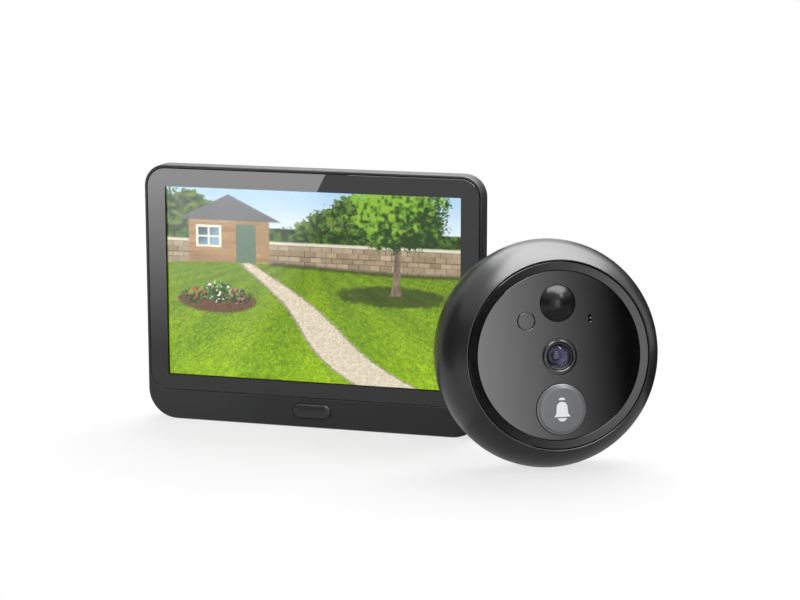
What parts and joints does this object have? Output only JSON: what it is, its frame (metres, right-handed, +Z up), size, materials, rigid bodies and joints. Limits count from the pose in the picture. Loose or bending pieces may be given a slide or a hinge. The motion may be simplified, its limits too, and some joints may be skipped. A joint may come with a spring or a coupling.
{
  "type": "peephole door camera",
  "caption": "Door viewer set: flat indoor display with a pill-shaped wake key, and a round outdoor camera with motion sensor dome, lens and bell push button.",
  "frame": {"origin": "middle of the flat foot under the monitor", "axes": "+Z up, -Y out of the screen, +X to the right as the screen is read"},
  "size_m": [0.1609, 0.0653, 0.0792],
  "materials": {
    "case_plastic": "matt",
    "cover_glass": "gloss",
    "tape": "matt",
    "display": "gloss",
    "sheet_metal": "satin",
    "key_plastic": "satin",
    "black_plastic": "matt",
    "switch_plastic": "matt",
    "circuit_board": "satin",
    "steel": "satin",
    "pouch": "satin",
    "connector": "satin",
    "copper_foil": "satin",
    "rubber": "matt",
    "housing_paint": "satin",
    "bezel_gloss": "gloss",
    "face_gloss": "gloss",
    "dome_plastic": "satin",
    "lamp_resin": "gloss",
    "ring_plastic": "satin",
    "lens_glass": "coated",
    "filter": "gloss",
    "silicon": "gloss",
    "button_plastic": "satin",
    "symbol_white": "satin",
    "brass": "satin",
    "stud_alloy": "satin"
  },
  "bodies": {
    "root": {"front_frame": "case_plastic", "cover_glass": "cover_glass", "glass_tape": "tape", "lcd_panel": "display", "backlight_tray": "sheet_metal", "key_switch": "switch_plastic", "main_board": "circuit_board", "shield_can": "sheet_metal", "board_screws": "steel", "battery_pack": "pouch", "speaker": "black_plastic", "usb_socket": "steel", "reset_switch": "switch_plastic", "link_socket": "connector", "antenna": "copper_foil", "rear_cover": "case_plastic", "case_screws": "steel", "rear_pads": "rubber", "camera_housing": "housing_paint", "bezel_ring": "bezel_gloss", "face_plate": "face_gloss", "face_gasket": "rubber", "pir_lens": "dome_plastic", "pir_sensor": "steel", "light_window": "face_gloss", "ir_lamp": "lamp_resin", "lens_ring": "ring_plastic", "front_lens": "lens_glass", "lens_barrel": "black_plastic", "rear_lens": "lens_glass", "lens_holder": "black_plastic", "filter_motor": "steel", "image_sensor": "silicon", "sensor_board": "circuit_board", "sensor_spacers": "brass", "bell_switch": "switch_plastic", "mic_boot": "rubber", "microphone": "steel", "camera_board": "circuit_board", "camera_chip": "black_plastic", "camera_board_screws": "steel", "plug_seat": "connector", "chime_speaker": "black_plastic", "back_plate": "housing_paint", "back_screws": "steel", "stud_nut": "brass", "door_stud": "stud_alloy", "door_gasket": "rubber"},
    "bell_button": {"bell_button": "button_plastic", "bell_symbol": "symbol_white", "bell_plunger": "black_plastic"},
    "wake_key": {"wake_key": "key_plastic", "key_plunger": "black_plastic"},
    "reset_key": {"reset_key": "black_plastic"},
    "filter_blade": {"filter_blade": "filter"}
  },
  "joints": [
    {"name": "bell_press", "type": "slide", "parent": "root", "child": "bell_button", "axis": [-0.4945, 0.8565, -0.1478], "range_m": [0, 0.0006], "stiffness_N_per_m": 2500, "springref_m": -0.0003},
    {"name": "wake_press", "type": "slide", "parent": "root", "child": "wake_key", "axis": [0, 1, 0], "range_m": [0, 0.0004], "stiffness_N_per_m": 2500, "springref_m": -0.0003},
    {"name": "reset_press", "type": "slide", "parent": "root", "child": "reset_key", "axis": [0, 0, 1], "range_m": [0, 0.0003], "stiffness_N_per_m": 2500, "springref_m": -0.0003},
    {"name": "filter_shift", "type": "slide", "parent": "root", "child": "filter_blade", "axis": [0.866, 0.5, 0], "range_m": [0, 0.0046]}
  ]
}
